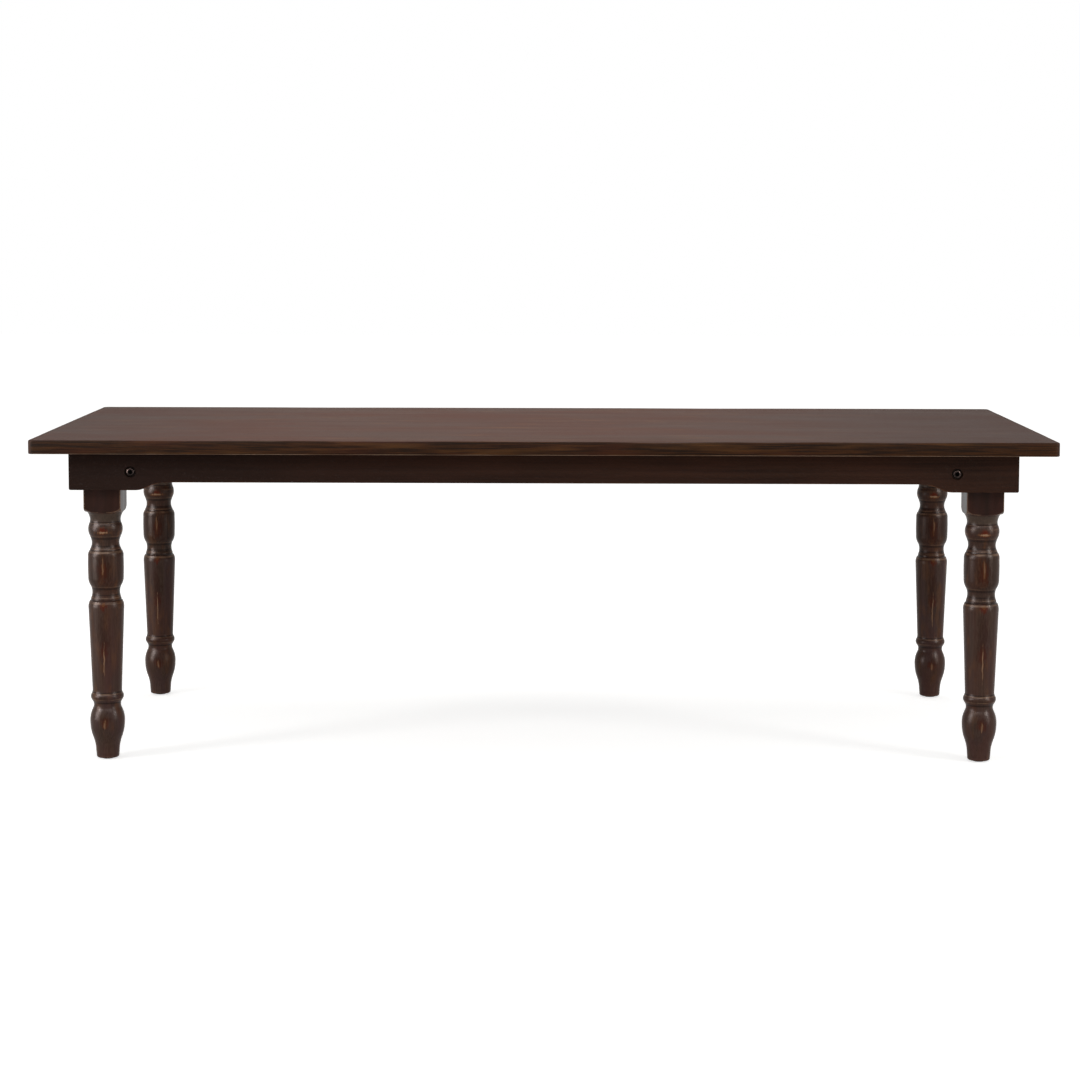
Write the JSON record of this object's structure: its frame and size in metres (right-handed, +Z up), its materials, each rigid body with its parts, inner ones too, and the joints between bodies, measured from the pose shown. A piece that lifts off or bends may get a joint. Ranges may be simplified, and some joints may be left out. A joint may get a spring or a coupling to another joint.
{
  "type": "farmhouse dining table",
  "caption": "Long dining table: thick plank top, aprons with haunched ends, and turned legs on two end frames that fold under the top and lock with barrel bolts.",
  "frame": {"origin": "on the floor, under the middle of the table", "axes": "+X along the table to the right of the picture, +Y from the front long side to the back, +Z up"},
  "size_m": [2.438, 1.016, 0.781],
  "materials": {
    "top_wood": "satin",
    "apron_wood": "satin",
    "leg_wood": "satin",
    "under_wood": "matte",
    "dowel_wood": "matte",
    "bronzed_steel": "satin",
    "zinc_steel": "satin",
    "nylon": "matte"
  },
  "bodies": {
    "table": {"top_plank_1": "top_wood", "top_plank_2": "top_wood", "top_plank_3": "top_wood", "top_plank_4": "top_wood", "top_plank_5": "top_wood", "top_plank_6": "top_wood", "front_apron": "apron_wood", "back_apron": "apron_wood", "left_end_apron": "apron_wood", "right_end_apron": "apron_wood", "corner_dowels": "dowel_wood", "front_cleats": "under_wood", "back_cleats": "under_wood", "left_end_cleat": "under_wood", "right_end_cleat": "under_wood", "cleat_screws": "zinc_steel", "left_lock_batten": "under_wood", "centre_batten": "under_wood", "right_lock_batten": "under_wood", "batten_screws": "zinc_steel", "left_lock_plate": "zinc_steel", "right_lock_plate": "zinc_steel", "left_lock_screws": "zinc_steel", "right_lock_screws": "zinc_steel", "front_left_pivot_sleeve": "bronzed_steel", "front_right_pivot_sleeve": "bronzed_steel", "back_left_pivot_sleeve": "bronzed_steel", "back_right_pivot_sleeve": "bronzed_steel"},
    "left_leg_frame": {"left_rail": "under_wood", "left_rail_screws": "zinc_steel", "front_left_leg": "leg_wood", "front_left_glide": "nylon", "front_left_pivot_bolt": "bronzed_steel", "front_left_pivot_washer": "nylon", "front_left_barrel_nut": "zinc_steel", "back_left_leg": "leg_wood", "back_left_glide": "nylon", "back_left_pivot_bolt": "bronzed_steel", "back_left_pivot_washer": "nylon", "back_left_barrel_nut": "zinc_steel"},
    "right_leg_frame": {"right_rail": "under_wood", "right_rail_screws": "zinc_steel", "front_right_leg": "leg_wood", "front_right_glide": "nylon", "front_right_pivot_bolt": "bronzed_steel", "front_right_pivot_washer": "nylon", "front_right_barrel_nut": "zinc_steel", "back_right_leg": "leg_wood", "back_right_glide": "nylon", "back_right_pivot_bolt": "bronzed_steel", "back_right_pivot_washer": "nylon", "back_right_barrel_nut": "zinc_steel"},
    "left_lock_rod": {"left_lock_rod": "zinc_steel", "left_lock_knob": "zinc_steel"},
    "right_lock_rod": {"right_lock_rod": "zinc_steel", "right_lock_knob": "zinc_steel"}
  },
  "joints": [
    {"name": "left_leg_fold", "type": "hinge", "parent": "table", "child": "left_leg_frame", "pos_m": [-0.982, 0, 0.7025], "axis": [0, -1, 0], "range_deg": [0, 90]},
    {"name": "right_leg_fold", "type": "hinge", "parent": "table", "child": "right_leg_frame", "pos_m": [0.982, 0, 0.7025], "axis": [0, 1, 0], "range_deg": [0, 90]},
    {"name": "left_lock_slide", "type": "slide", "parent": "table", "child": "left_lock_rod", "axis": [-1, 0, 0], "range_m": [0, 0.031]},
    {"name": "right_lock_slide", "type": "slide", "parent": "table", "child": "right_lock_rod", "axis": [1, 0, 0], "range_m": [0, 0.031]}
  ]
}
